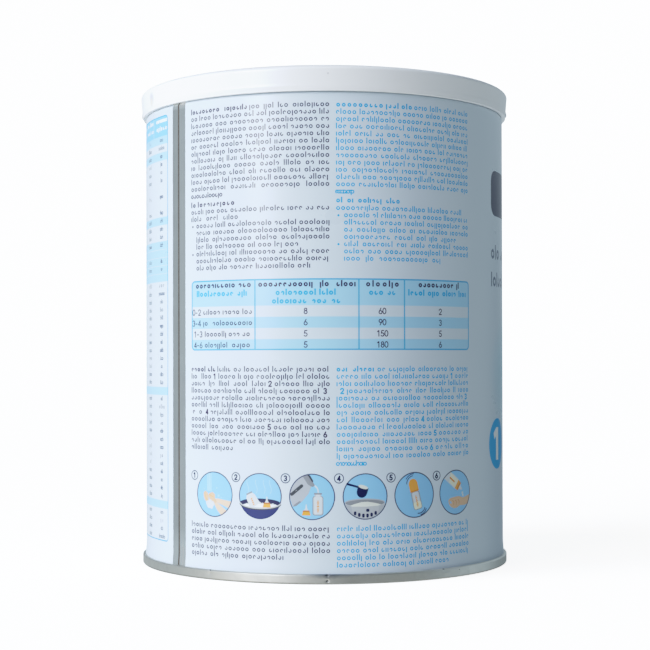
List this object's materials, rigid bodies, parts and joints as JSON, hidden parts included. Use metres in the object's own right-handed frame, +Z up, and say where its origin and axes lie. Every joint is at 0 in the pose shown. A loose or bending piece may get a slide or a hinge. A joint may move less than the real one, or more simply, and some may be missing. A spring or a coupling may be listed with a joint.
{
  "type": "infant formula tin",
  "caption": "Round shut milk-powder tin with a white push-on lid, a pale printed wall with a bare side seam, and a seamed steel bottom end.",
  "frame": {"origin": "centre of the circle that the bottom seam stands on", "axes": "+Z up along the tin's axis, towards the lid; -Y faces the side with the instructions panel, and the bare side seam is about 50 degrees to its left"},
  "size_m": [0.1306, 0.1306, 0.1653],
  "materials": {
    "printed_tinplate": "pale blue-white lacquered print on tinplate, satin gloss, with one bare welded side seam",
    "bare_tinplate": "bare tinplate, semi-bright, with small dents on the seam ring",
    "lid_plastic": "white moulded polyethylene, soft satin"
  },
  "bodies": {
    "root": {"tin_body": "printed_tinplate", "bottom_end": "bare_tinplate", "lid": "lid_plastic"}
  },
  "joints": []
}
